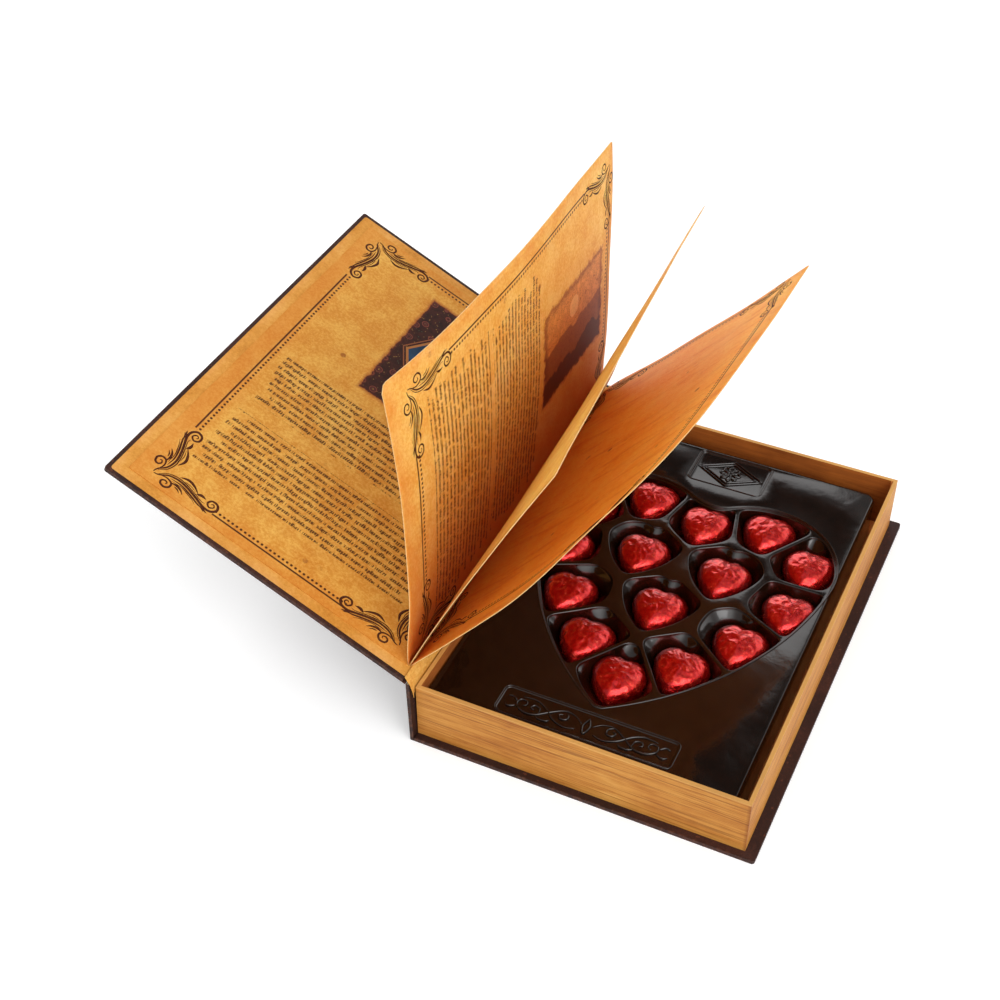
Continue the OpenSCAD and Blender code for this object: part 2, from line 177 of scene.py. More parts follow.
def small_heart():
    """Outline of one wrapped heart round its middle."""
    lobe = HEART_LOBE
    h = heart(lobe, 5.6, lobe * 0.38, lobe * 3.77, lobe * 0.35, 20, 0, (8, 24, 16, 10))
    return (h - [0, (h[:, 1].max() + h[:, 1].min()) / 2]) * HEART_GROWTH


def big_heart(inset):
    """Outline of the tray's basin."""
    h = heart(LOBE, LOBE * 0.813, LOBE * 0.468, LOBE * 3.94, LOBE * 0.124, 6, inset, (10, 36, 26, 8))
    return h + [TRAY_MX, BASIN_Y]


INNER_FROM = 12         # the hearts from this one on stand inside the ring of the others
SIDE = [(0.767, 0.668), (1.429, 0.242), (1.438, -0.6), (1.083, -1.341), (0.592, -1.977)]
PLACES = np.array([(0, 0.488)] + SIDE + [(0, -2.396)] + [(-x, y) for x, y in SIDE[::-1]]
    + [(0.525, -0.33), (-0.525, -0.33), (0, -1.152)]) * LOBE + [TRAY_MX, BASIN_Y]


def ray_reach(origin, direction, poly):
    """Distance from origin along direction to a closed outline round it."""
    a, b = poly, np.roll(poly, -1, 0)
    e, w = b - a, a - origin
    det = direction[0] * -e[:, 1] + direction[1] * e[:, 0]
    det = np.where(np.abs(det) < 1e-9, 1e-9, det)
    t = (w[:, 0] * -e[:, 1] + w[:, 1] * e[:, 0]) / det
    s = (direction[0] * w[:, 1] - direction[1] * w[:, 0]) / det
    good = (t > 0) & (s >= -1e-9) & (s <= 1 + 1e-9)
    return t[good].min() if good.any() else 1e9


def spokes(count):
    """Angles and directions all round, from the foot on, and the reach of a wrapped and a bare heart there."""
    around = np.linspace(0, 2 * math.pi, count, endpoint=False) - math.pi / 2
    dirs = np.stack([np.cos(around), np.sin(around)], 1)
    outline = small_heart()
    own, bare = ([ray_reach(np.zeros(2), d, h) for d in dirs] for h in (outline, outline / HEART_GROWTH))
    return around, dirs, np.array(own), np.array(bare)


# ---------------- node helpers
def lin(*rgb):
    """Linear colour of one written as 0 to 255."""
    shares = [c / 255 for c in rgb]
    return tuple(c / 12.92 if c <= 0.04045 else ((c + 0.055) / 1.055) ** 2.4 for c in shares) + (1.0,)


class Val:
    """A shader value that takes part in sums."""

    def __init__(self, tree, socket):
        self.t, self.s = tree, socket

    def op(self, name, *others):
        n = self.t.new("ShaderNodeMath", dict(enumerate((self,) + others)), operation=name)
        return Val(self.t, n.outputs[0])

    def __add__(self, o): return self.op("ADD", o)
    def __sub__(self, o): return self.op("SUBTRACT", o)
    def __rsub__(self, o): return (self * -1) + o
    def __mul__(self, o): return self.op("MULTIPLY", o)
    def __truediv__(self, o): return self.op("DIVIDE", o)
    __radd__, __rmul__ = __add__, __mul__
    def abs(self): return self.op("ABSOLUTE")
    def lt(self, o): return self.op("LESS_THAN", o)
    def gt(self, o): return self.op("GREATER_THAN", o)
    def frac(self): return self.op("FRACT")
    def floor(self): return self.op("FLOOR")
    def min(self, o): return self.op("MINIMUM", o)
    def max(self, o): return self.op("MAXIMUM", o)
    def clamp(self): return self.max(0.0).min(1.0)

    def near(self, centre, half, soft=0.1):
        """1 within half of the centre, falling to 0 over soft."""
        return ((half + soft / 2 - (self - centre).abs()) / soft).clamp()

    def above(self, edge, soft):
        return ((self - edge) / soft + 0.5).clamp()


class Tree:
    def __init__(self, name):
        self.mat = bpy.data.materials.new(name)
        self.mat.use_nodes = True
        self.nt = self.mat.node_tree
        self.bsdf = next(n for n in self.nt.nodes if n.type == "BSDF_PRINCIPLED")

    def put(self, socket, value):
        """Link a value or a socket to the socket, or write a number in it."""
        if isinstance(value, Val):
            value = value.s
        if isinstance(value, bpy.types.NodeSocket):
            self.nt.links.new(value, socket)
        else:
            socket.default_value = value

    def new(self, kind, sockets={}, **props):
        """A node with its properties set, and its inputs, by name or number."""
        n = self.nt.nodes.new(kind)
        for k, v in props.items():
            setattr(n, k, v)
        for k, v in sockets.items():
            self.put(n.inputs[k], v)
        return n

    def ray(self, kind):
        return Val(self, self.new("ShaderNodeLightPath").outputs[f"Is {kind} Ray"])

    def object_coords(self):
        return self.new("ShaderNodeTexCoord").outputs["Object"]

    def sheet_coords(self):
        return self.new("ShaderNodeUVMap", uv_map="sheet").outputs[0]

    def cover_coords(self):
        """Object coordinates turned into the open cover's plane."""
        root = [c * MM for c in cover_point(0, 0, 0)]
        return self.new("ShaderNodeMapping", {"Vector": self.object_coords(), "Location": root,
            "Rotation": (0, math.radians(-COVER_ANGLE), 0)}, vector_type="TEXTURE").outputs[0]

    def split(self, vector):
        s = self.new("ShaderNodeSeparateXYZ", {0: vector})
        return [Val(self, out) for out in s.outputs]

    def xyz(self, vector):
        """The three coordinates in millimetres."""
        return [c * 1000.0 for c in self.split(vector)]

    def stretch(self, vector, scale, shift=(0, 0, 0)):
        return self.new("ShaderNodeMapping", {"Vector": vector, "Scale": scale, "Location": shift}).outputs[0]

    def noise(self, vector, scale, detail=4.0, rough=0.55, distort=0.0):
        """scale is in features per millimetre."""
        return Val(self, self.new("ShaderNodeTexNoise", {"Vector": vector, "Scale": scale * 1000,
            "Detail": detail, "Roughness": rough, "Distortion": distort}).outputs[0])

    def voronoi(self, vector, scale, feature="DISTANCE_TO_EDGE", random=1.0):
        sockets = {"Vector": vector, "Scale": scale * 1000, "Randomness": random}
        return Val(self, self.new("ShaderNodeTexVoronoi", sockets, feature=feature).outputs["Distance"])

    def warped(self, vector, scale, amount):
        """The coordinates pushed about by up to amount millimetres."""
        way = self.new("ShaderNodeTexNoise", {"Vector": vector, "Scale": scale * 1000}).outputs["Color"]
        push = self.new("ShaderNodeVectorMath", {0: way, "Scale": amount * MM}, operation="SCALE").outputs[0]
        return self.new("ShaderNodeVectorMath", {0: vector, 1: push}, operation="ADD").outputs[0]

    def ramp(self, fac, stops):
        """Each stop is a place and its red, green and blue."""
        r = self.new("ShaderNodeValToRGB", {0: fac})
        el = r.color_ramp.elements
        while len(el) < len(stops):
            el.new(0.5)
        for e, (pos, *rgb) in zip(el, stops):
            e.position, e.color = pos, lin(*rgb)
        return r.outputs[0]

    def mix(self, fac, a, b):
        m = self.new("ShaderNodeMix", {0: fac}, data_type="RGBA")
        for s, v in zip([s for s in m.inputs if s.type == "RGBA"], (a, b)):
            self.put(s, v)
        return next(o for o in m.outputs if o.type == "RGBA")

    def tint(self, colour, *layers):
        """The colour with others laid over it, each a mask and its red, green and blue."""
        for mask, rgb in layers:
            colour = self.mix(mask, colour, lin(*rgb))
        return colour

    def bump(self, height, distance, strength=1.0):
        return self.new("ShaderNodeBump",
            {"Height": height, "Distance": distance * MM, "Strength": strength}).outputs[0]

    def finish(self, colour, rough, normal=None, **values):
        values.update(Base_Color=colour, Roughness=rough)
        if normal is not None:
            values["Normal"] = normal
        for k, v in values.items():
            self.put(self.bsdf.inputs[k.replace("_", " ")], v)
        return self.mat


# ---------------- materials
def leather_paper(name, coords="flat"):
    """Dark brown leather-look paper with scuffed edges; coords gives the board that it wraps."""
    t = Tree(name)
    o = t.cover_coords() if coords == "cover" else t.object_coords()
    x, y, z = t.xyz(o)
    patch = t.noise(o, 0.02, 5, 0.6)
    fine = t.noise(o, 0.5, 6, 0.7)
    grain = t.voronoi(o, 0.9)
    colour = t.ramp(patch * 0.6 + fine * 0.4,
        [(0.32, 32, 16, 12), (0.5, 52, 27, 21), (0.7, 80, 44, 34)])
    across = (COVER_W - x).min(x) if coords == "cover" else (SPINE_X - x.abs()).abs()
    edge = across.min(COVER_HALF - y.abs())
    colour = t.tint(colour, (grain.lt(0.08) * 0.4, (28, 14, 11)),
        (t.noise(o, 0.35, 3, 0.6).gt(0.66) * 0.35, (120, 68, 46)),
        ((0.9 - edge).clamp() * fine.above(0.54, 0.12) * 0.45, (112, 74, 54)))
    n = t.bump(grain.min(0.25) + fine * 0.12, 0.12, 0.6)
    return t.finish(colour, fine * 0.2 + 0.5, n, Specular_IOR_Level=0.28)


def greyboard():
    t = Tree("greyboard")
    o = t.object_coords()
    f = t.noise(t.stretch(o, (1, 1, 6)), 0.6, 5, 0.7)
    colour = t.ramp(f, [(0.3, 120, 103, 84), (0.7, 158, 140, 117)])
    return t.finish(colour, 0.9, t.bump(f, 0.1, 0.4))


def wood_print():
    """Golden print streaked along the walls outside, pale on the cut rim, partly a painted highlight on the
    walls' tops, and dark orange-brown inside, with painted light on the inside of the fore wall.
    """
    t = Tree("wood_print")
    o = t.object_coords()
    x, y, z = t.xyz(o)
    streak = t.noise(t.stretch(o, (0.05, 0.05, 1)), 0.75, 6, 0.7, 0.35)
    broad = t.noise(t.stretch(o, (0.12, 0.12, 1)), 0.16, 4, 0.6, 0.8)
    cloud = t.noise(o, 0.03, 4, 0.6)
    speck = t.noise(o, 1.3, 4, 0.7)
    colour = t.ramp(streak * 0.42 + broad * 0.3 + cloud * 0.28, [(0.34, 140, 78, 24),
        (0.45, 180, 116, 46), (0.56, 198, 138, 62), (0.68, 214, 162, 84)])
    grains = t.noise(t.stretch(o, (0.012, 0.012, 1)), 0.3, 3, 0.5)
    corner = (BOX_X - x).abs() + (BOX_HALF - y.abs()).abs()
    colour = t.tint(colour,
        ((0.014 - (grains - 0.47).abs()).above(0, 0.012) * 0.55, (112, 54, 18)),
        ((0.009 - (grains - 0.56).abs()).above(0, 0.01) * 0.45, (150, 84, 30)),
        ((0.385 - streak).above(0, 0.02) * 0.4, (150, 76, 26)),
        (speck.lt(0.36) * 0.3, (150, 88, 32)),
        ((1.0 - corner / 1.6).clamp() * 0.6, (120, 60, 24)),
        # paler tops of the walls: partly the cut rim's own paler paper, partly a painted highlight
        (z.above(RIM_Z - 0.7, 0.5) * 0.75, (214, 162, 90)))
    within = (84.9 - (x + 2.8).abs()).min(BOX_HALF - 1.1 - y.abs()).gt(0.0) * z.lt(RIM_Z - 0.05)
    dark = t.ramp(streak * 0.5 + cloud * 0.5, [(0.35, 124, 62, 20), (0.65, 176, 98, 36)])
    # painted light: the inside of the fore wall is lightened against the shade of the narrow gap beside the
    # tray
    dark = t.tint(dark, (x.gt(BOX_X - 3.0) * 0.9, (238, 156, 80)))
    colour = t.mix(within, colour, dark)
    return t.finish(colour, speck * 0.2 + 0.5, t.bump(speck * 0.5 + streak, 0.06, 0.4), Specular_IOR_Level=0.28)


def lining_paper():
    t = Tree("lining_paper")
    o = t.object_coords()
    f = t.noise(o, 0.6, 5, 0.7)
    c = t.noise(o, 0.06, 4, 0.6)
    colour = t.ramp(c * 0.5 + f * 0.5,
        [(0.32, 184, 112, 40), (0.5, 214, 152, 66), (0.68, 232, 184, 100)])
    y, z = t.xyz(o)[1:]
    flap = (-123.6 - y).above(0, 0.6) * z.lt(30.5)
    colour = t.tint(colour, (flap, (44, 23, 17)))
    return t.finish(colour, 0.6, t.bump(f, 0.08, 0.5), Specular_IOR_Level=0.25)


def inner_print():
    """Golden-orange paper on the floor of the box."""
    t = Tree("inner_print")
    o = t.object_coords()
    streak = t.noise(t.stretch(o, (1, 0.25, 1)), 0.15, 6, 0.65, 0.8)
    colour = t.ramp(streak, [(0.3, 214, 112, 40), (0.7, 240, 156, 78)])
    return t.finish(colour, 0.55, t.bump(streak, 0.05, 0.3))


def ink():
    t = Tree("ink")
    f = t.noise(t.object_coords(), 0.8, 4, 0.7)
    return t.finish(t.ramp(f, [(0.3, 58, 22, 10), (0.75, 94, 48, 22)]), 0.7, Specular_IOR_Level=0.15)


def page(name, coords, palette, text=(), picture=None, lines=(), depth=None, streak=0.0):
    """Printed sheet: aged ground, border of line and dots, rows of unreadable marks, a generic picture.
    palette is dark, mid, light; text holds u0, u1, v0, v1, pitch; lines hold axis, place, from, to, side;
    depth holds how far from the gutter a tone reaches, the tone and its most; that tone is partly print and
    partly painted shade."""
    t = Tree(name)
    o = t.cover_coords() if coords == "cover" else t.sheet_coords()
    u, v, _ = t.xyz(o)
    cloud = t.noise(o, 0.014, 6, 0.62, 0.4)
    blot = t.noise(t.stretch(o, (1, 1, 1), (0.3, 0.7, 0)), 0.05, 5, 0.7)
    fibre = t.noise(t.stretch(o, (0.7, 1.6, 1)), 0.8, 5, 0.75)
    speck = t.noise(o, 0.9, 3, 0.6)
    spots = t.voronoi(o, 0.045, "F1")
    ground = t.ramp(cloud * 0.42 + blot * 0.26 + fibre * 0.32,
        [(place, *rgb) for place, rgb in zip((0.36, 0.5, 0.63), palette)])
    mott, fleck = t.noise(o, 0.07, 6, 0.75), t.noise(o, 0.6, 3, 0.7)
    for n, share in ((mott, 0.35), (fleck, 0.3)):
        ground = t.tint(ground, ((n - 0.53).above(0, 0.12) * share, palette[0]),
            ((0.46 - n).above(0, 0.12) * share, palette[2]))
    if streak:
        s = t.noise(t.stretch(o, (0.12, 1.0, 1)), 0.16, 6, 0.7, 0.9)
        ground = t.tint(ground, (s.above(0.57, 0.14) * streak, (206, 92, 18)),
            ((0.45 - s).above(0.0, 0.12) * streak, (244, 172, 74)))
    # partly print and partly painted shade: the sheet darkens towards the gutter, where the leaves shade each
    # other
    if depth:
        reach, tone, most = depth
        near = ((reach - u + (cloud - 0.5) * 60) / reach).clamp()
        ground = t.tint(ground, (near.op("POWER", 1.3) * most, tone))
    rim = (LEAF_HALF - v.abs()).min(LEAF_W + 2 - u) / 13.0 + (blot - 0.5) * 1.2
    ground = t.tint(ground,
        ((0.075 - spots).above(0, 0.03) * blot.above(0.5, 0.1) * 0.7, (128, 62, 20)),
        (speck.lt(0.35) * 0.3, (160, 92, 34)), ((1.0 - rim).clamp() * 0.5, (202, 118, 40)))
    marks = None
    for axis, place, a, b, side in lines:
        along, across = (v, u) if axis == "u" else (u, v)
        span = along.near((a + b) / 2, abs(b - a) / 2, 0.4)
        rule = across.near(place, 0.5, 0.2)
        cell = (along / 2.5).frac() - 0.5
        off = (across - (place + side * 2.4)) / 2.5
        dot = ((0.33 - (cell * cell + off * off).op("SQRT")) / 0.08).clamp()
        m = rule.max(dot) * span
        marks = m if marks is None else marks.max(m)
    for u0, u1, v0, v1, pitch in text:
        row = (v / pitch).floor()
        height = (v / pitch).frac() - 0.5
        chance = Val(t, t.new("ShaderNodeTexWhiteNoise", {"W": row}, noise_dimensions="1D").outputs["Value"])
        c = t.new("ShaderNodeCombineXYZ", {0: u * 0.001, 1: row * 0.0137}).outputs[0]
        stems = t.noise(c, 0.9, 1, 0.5)
        tails = t.noise(t.stretch(c, (1, 1, 1), (0.5, 0, 0)), 0.5, 1, 0.5)
        slope = (u / (pitch * 0.29) + height * 0.5 + chance * 17 + stems * 1.5).frac() - 0.5
        stem = ((0.41 - slope.abs()) / 0.13).clamp()
        bowl = t.noise(o, 1.1, 2, 0.6).above(0.56, 0.1)
        top = tails.above(0.6, 0.04) * 0.17 + 0.25
        low = (0.4 - tails).above(0, 0.04) * 0.15 + 0.24
        band = ((top - height) / 0.08).clamp() * ((height + low) / 0.08).clamp()
        gaps = (u / (pitch * 2.1) + chance * 9 + stems * 1.2).frac().gt(0.15)
        middle, half = (u0 + u1) / 2, (u1 - u0) / 2
        ends = ((half - chance * chance * (half * 0.16)) - (u - middle).abs()).above(0, 0.4)
        rows = (v - v0).above(0, 0.3) * (v1 - v).above(0, 0.3)
        m = stem.max(bowl) * band * gaps * ends * rows * 0.92
        marks = m if marks is None else marks.max(m)
    colour = picture(t, o, u, v, ground) if picture else ground
    if marks is not None:
        colour = t.tint(colour, (marks * (0.82 + 0.3 * fibre), (66, 28, 12)))
    glow = dict(Subsurface_Radius=(1.0, 0.45, 0.15), Subsurface_Scale=1.6 * MM, Subsurface_Weight=0.45)
    return t.finish(colour, fibre * 0.15 + 0.5, t.bump(fibre + speck * 0.5, 0.03, 0.35),
        Specular_IOR_Level=0.22, **(glow if coords == "sheet" else {}))


def framed_picture(u0, u1, v0, v1, kind):
    """Deckled panel: "blue" is a beaded lattice round a night-blue lozenge, "brown" low hills and a sun."""
    def paint(t, o, u, v, colour):
        cu, cv, hu, hv = (u0 + u1) / 2, (v0 + v1) / 2, (u1 - u0) / 2, (v1 - v0) / 2
        ragged = 1.1 if kind == "blue" else 3.0
        rag = (t.noise(o, 0.16, 5, 0.75) - 0.5) * (4 * ragged)
        edge = (hu - (u - cu).abs()).min(hv - (v - cv).abs()) + rag
        grain = t.noise(o, 0.22, 6, 0.72)
        if kind == "blue":
            body = t.ramp(grain, [(0.3, 30, 15, 12), (0.7, 70, 34, 26)])
            rosette = t.voronoi(o, 0.15, "F1", 0.8)
            bead = t.voronoi(o, 0.55, "F1")
            body = t.tint(body,
                (bead.lt(0.2) * grain.above(0.52, 0.06) * 0.8, (150, 118, 62)),
                (bead.lt(0.2) * (0.46 - grain).above(0, 0.06) * 0.7, (72, 84, 70)),
                ((rosette - 0.3).abs().lt(0.045) * 0.8, (122, 62, 50)),
                ((rosette - 0.16).abs().lt(0.04) * 0.8, (96, 50, 44)),
                (rosette.lt(0.06), (186, 134, 70)))
            loz = (u - cu).abs() / (hu - 6) + (v - cv).abs() / (hv - 8)
            sky = t.ramp(t.noise(o, 0.05, 6, 0.65), [(0.3, 14, 24, 40), (0.7, 40, 74, 108)])
            sky = t.tint(sky, (t.voronoi(o, 0.2, "F1").lt(0.09) * 0.85, (196, 176, 126)))
            body = t.tint(t.mix(loz.lt(1.0), body, sky), ((loz - 1.0).abs().lt(0.04), (164, 108, 58)),
                ((loz - 1.12).abs().lt(0.018), (140, 84, 50)))
        else:
            line_v = t.stretch(o, (0, 1, 1))
            h1 = t.noise(line_v, 0.03, 4, 0.5) * 26
            h2 = t.noise(t.stretch(o, (0, 1, 1), (0, 0.4, 0)), 0.05, 4, 0.5) * 22
            trees = t.noise(line_v, 0.35, 3, 0.7) * 5
            body = t.ramp((u - u0) / (u1 - u0) * 0.6 + grain * 0.4,
                [(0.15, 140, 70, 30), (0.5, 196, 120, 54), (0.85, 226, 160, 86)])
            du, dv = u - (u1 - 14), v - cv
            body = t.tint(body,
                (((h1 + trees * 0.6 + (u0 + 16)) - u).above(0, 1.0), (146, 80, 38)),
                (((h2 + trees + (u0 + 1)) - u).above(0, 1.0), (92, 40, 22)),
                (grain.lt(0.4) * 0.6, (104, 48, 24)),
                ((grain - 0.5).abs().lt(0.012) * 0.6, (84, 36, 20)),
                ((du * du + dv * dv).op("SQRT").lt(6.0) * 0.5, (240, 190, 120)))
        body = t.tint(body, ((1.0 - edge / (1.6 * ragged)).clamp() * 0.65, (92, 38, 22)))
        fringe = t.tint(colour, ((edge + 1.2).above(0, 2.0) * 0.75, (150, 70, 34)))
        return t.mix(edge.above(0, 0.6), fringe, body)
    return paint


def margin_paper():
    """Golden endpaper, pinkish in patches towards its edges."""
    t = Tree("margin_paper")
    o = t.cover_coords()
    u, v, _ = t.xyz(o)
    c = t.noise(o, 0.03, 5, 0.6)
    f = t.noise(o, 0.7, 4, 0.7)
    colour = t.ramp(c * 0.6 + f * 0.4,
        [(0.34, 184, 116, 38), (0.5, 208, 146, 60), (0.66, 224, 172, 88)])
    edge = (COVER_HALF - 1.0 - v.abs()).min(COVER_W - u)
    colour = t.tint(colour, ((1.0 - edge / 9.0).clamp() * c.above(0.52, 0.2) * 0.3, (206, 140, 100)))
    return t.finish(colour, 0.6, t.bump(f, 0.04, 0.4), Specular_IOR_Level=0.25)


def tray_sheet():
    """Dark chocolate-brown formed sheet, glossy, its flats very slightly wavy."""
    t = Tree("tray_sheet")
    o = t.object_coords()
    wave = t.noise(o, 0.03, 2, 0.5)
    f = t.noise(o, 0.1, 4, 0.55)
    s = t.noise(o, 1.2, 4, 0.6)
    colour = t.ramp(f, [(0.3, 16, 6, 2), (0.7, 27, 12, 5)])
    return t.finish(colour, s * 0.06 + 0.09, t.bump(wave * 3.0 + f + s * 0.03, 0.35, 0.3),
        Specular_IOR_Level=0.62)


def foil(seed):
    """Red foil, smooth over the top and crinkled down the sides, with painted shade and painted highlight in
    patches.
    """
    t = Tree(f"foil_{seed}")
    o = t.stretch(t.object_coords(), (1, 1, 1), (seed * 0.37, seed * 0.11, seed * 0.23))
    z = t.xyz(t.object_coords())[2]
    side = (1.0 - (z - (POCKET_Z + 9.0)) / 4.5).clamp() * 0.8 + 0.2
    warp = t.noise(o, 0.2, 3, 0.5)
    bent = t.warped(o, 0.35, 2.2)
    cell = t.voronoi(bent, 0.36)
    fine = t.voronoi(t.stretch(bent, (1, 1, 0.5)), 0.95)
    soft = t.noise(o, 0.4, 5, 0.65)
    # painted shade and painted highlight: the dark red and salmon stops, laid in noise patches over the foil's
    # red
    colour = t.ramp(soft, [(0.25, 168, 2, 6), (0.5, 208, 14, 14), (0.8, 242, 84, 58)])
    height = (cell.min(0.07) * 3.4 + fine.min(0.1) * 1.3 + soft * 0.4) * side + warp * 0.6
    return t.finish(colour, soft * 0.2 + 0.14, t.bump(height, 0.5, 0.9),
        Metallic=0.76, Coat_Weight=0.5, Coat_Roughness=0.2)


def chocolate():
    t = Tree("chocolate")
    f = t.noise(t.object_coords(), 0.3, 4, 0.6)
    return t.finish(t.ramp(f, [(0.3, 58, 28, 14), (0.7, 86, 44, 24)]), 0.4, t.bump(f, 0.05, 0.3))


def paper_edge():
    t = Tree("paper_edge")
    f = t.noise(t.object_coords(), 0.7, 3, 0.6)
    return t.finish(t.ramp(f, [(0.3, 214, 164, 98), (0.7, 240, 200, 138)]), 0.6)


def set_material(node, material):
    ob = nodes[node]
    if not ob.material_slots:
        ob.data.materials.append(None)
    for s in ob.material_slots:
        s.link = "OBJECT"
        s.material = material


# materials, and the printed sheets' borders and colours
M_WRAP, M_COVER_WRAP = leather_paper("leather_paper"), leather_paper("leather_paper_cover", "cover")
M_BOARD, M_WOOD, M_INNER, M_INK, M_LINING = greyboard(), wood_print(), inner_print(), ink(), lining_paper()
M_MARGIN, M_TRAY, M_CHOC = margin_paper(), tray_sheet(), chocolate()
PARCH = ((192, 120, 38), (211, 150, 60), (226, 182, 92))
GOLD = ((224, 150, 50), (242, 188, 84), (248, 214, 126))
ORANGE = ((240, 146, 38), (250, 178, 64), (252, 200, 94))
TANNED = ((208, 140, 50), (226, 174, 82), (236, 200, 120))
# painted shade: a darker copy of the leaves' paper, for the underside of leaf 3
SHADED = ((146, 78, 24), (170, 98, 36), (190, 122, 56))
# tone towards the gutter, partly print and partly painted shade
GUTTER_PRINT_AND_SHADE = (206, 94, 18)
PANEL_BORDER = (11, -115, 157.6, 115)         # u and v of the border's corners
PAGE_BORDER = (3, -106, 149, 117)
PAGE_LINES = [("u", 149, -71, 82, -1), ("v", -106, 37, 115, 1), ("v", 117, 37, 115, -1)]
M_PANEL = page("parchment", "cover", PARCH,
    text=[(22, 149, -40, -1, 4.3), (22, 149, -93, -50, 4.3)],
    picture=framed_picture(56, 110, 12, 101, "blue"),
    lines=[("u", 157.6, -77, 77, -1), ("v", -115, 43, 122, 1), ("v", 115, 43, 122, -1), ("u", 11, -77, 77, 1)])
M_LEAF_1 = page("page_text", "sheet", TANNED, text=[(10, 138, -92, -34, 3.6), (10, 138, -30, 24.5, 3.6)],
    picture=framed_picture(49, 104, 31, 108, "brown"), lines=PAGE_LINES, depth=(100.0, GUTTER_PRINT_AND_SHADE, 0.75))
M_LEAF_PLAIN = page("page_plain", "sheet", GOLD, lines=PAGE_LINES, depth=(90.0, GUTTER_PRINT_AND_SHADE, 0.8))
# leaf 2 lies between the others: its tone towards the gutter reaches over most of the sheet, partly print and
# partly painted shade
M_LEAF_DEEP = page("page_deep", "sheet", GOLD, streak=0.3, depth=(120.0, GUTTER_PRINT_AND_SHADE, 0.7))
M_LEAF_3 = page("page_streaked", "sheet", ORANGE, lines=PAGE_LINES, streak=0.4, depth=(60.0, GUTTER_PRINT_AND_SHADE, 0.45))
M_LEAF_UNDER = page("page_under", "sheet", SHADED, lines=PAGE_LINES)
M_EDGE = paper_edge()

for material, names in (
        (M_WRAP, ("back_wrap", "spine_wrap", "bottom_fold")),
        (M_COVER_WRAP, ("front_wrap", "top_fold")),
        (M_BOARD, ("back_board", "front_board", "spine_board")),
        (M_WOOD, ("foot_wall", "head_wall", "spine_wall", "fore_wall")),
        (M_LINING, ("spine_lining", "leaf_guard")),
        (M_INNER, ("box_floor",)), (M_MARGIN, ("endpaper",)), (M_PANEL, ("cover_panel",)),
        (M_CHOC, [f"chocolate_{i + 1:02d}" for i in range(HEARTS)])):
    for name in names:
        set_material(name, material)


# ---------------- scrolled corners
# strokes of one arm of a corner: s along the border from the corner and d inwards, and two widths
ARM = [(smooth_path(pts, 5), thin, thick) for pts, thin, thick in (
    ([(0.8, 0.1), (3.5, 0.9), (7.6, 3.9), (13.4, 4.9), (19.5, 3.8), (25.2, 1.9), (30, 0.2), (34, 0.4),
        (36.3, 3.0), (35.0, 6.0), (31.8, 6.3), (30.4, 4.0), (32.2, 2.1), (34.2, 3.4), (33.4, 4.9),
        (32.2, 4.3)], 0.3, 0.85),
    ([(3.0, 1.2), (6.2, 4.4), (11, 6.0), (16, 5.7), (22, 4.2), (27.4, 2.4), (29.6, 2.6)], 0.15, 0.4),
    ([(8.6, 3.0), (14.6, 3.3), (20.6, 1.9), (26.6, -0.2), (29.4, -0.9), (31.6, -2.2)], 0.1, 0.62),
    ([(10.4, 2.2), (16.2, 2.2), (21.3, 0.7), (24, -0.3), (26.2, -1.6)], 0.08, 0.3),
    ([(10.3, 0.9), (13.4, 1.5), (16.4, 0.6), (18.6, -1.2)], 0.1, 0.8),
    ([(13, 0.2), (15.2, -0.3), (16.8, -1.6)], 0.1, 0.45),
    ([(4.6, 1.4), (7.6, 2.0), (10.6, 0.9), (11.2, -1.6), (9.3, -3.4), (6.7, -2.8), (6.1, -0.9), (7.6, 0.2),
        (9.1, -0.5), (8.7, -1.6)], 0.3, 0.72),
    ([(12.0, 7.0), (16.4, 8.5), (20.6, 7.2), (24.6, 4.4)], 0.1, 0.9),
    ([(15, 6.4), (19, 6.2), (22.6, 4.9)], 0.08, 0.28),
    ([(23.4, 4.2), (26, 5.3), (28.8, 4.9)], 0.1, 1.0),
    ([(28.6, 0.3), (30.6, -1.0), (33.4, -1.7)], 0.1, 0.8))]


def scrolls(place, border, bold=0.62):
    """Ink ribbons for the arms at a border's corners on a sheet. place(u, v, h) gives a point; a border is
    u0, v0, u1, v1. Returns vertices, faces and the sheet coordinates of the vertices."""
    verts, faces, uvs = [], [], []
    u0, v0, u1, v1 = border
    for cu, cv, su, sv in ((u1, v0, -1, 1), (u1, v1, -1, -1), (u0, v0, 1, 1), (u0, v1, 1, -1)):
        for swap in (False, True):
            for path, w_end, w_mid in ARM:
                n = len(path)
                tan = np.gradient(path, axis=0)
                tan /= np.maximum(np.hypot(tan[:, 0], tan[:, 1]), 1e-9)[:, None]
                start = len(verts)
                for i, (p, q) in enumerate(zip(path, tan)):
                    w = (w_end + (w_mid - w_end) * math.sin(math.pi * (i / (n - 1)) ** 0.8)) * bold
                    for off, h in ((-w, 0.0), (0, 0.07), (w, 0.0)):
                        s, d = p[0] - q[1] * off, p[1] + q[0] * off
                        a, b = (d, s) if swap else (s, d)
                        uu, vv = cu + su * a, cv + sv * b
                        verts.append(place(uu, vv, h))
                        uvs.append((uu, vv))
                flip = (su * sv < 0) != swap
                ring = []
                for i in range(n - 1):
                    a, b = start + 3 * i, start + 3 * i + 3
                    ring += [(a, a + 1, b + 1, b), (a + 1, a + 2, b + 2, b + 1), (a + 2, a, b, b + 2)]
                end = start + 3 * n
                ring += [(start, start + 2, start + 1), (end - 3, end - 2, end - 1)]
                faces += [tuple(reversed(f)) for f in ring] if flip else ring
    return verts, faces, uvs


piece = make("panel_scrolls", *scrolls(cover_point, PANEL_BORDER, 0.82)[:2], [M_INK])
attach(piece, "cover")


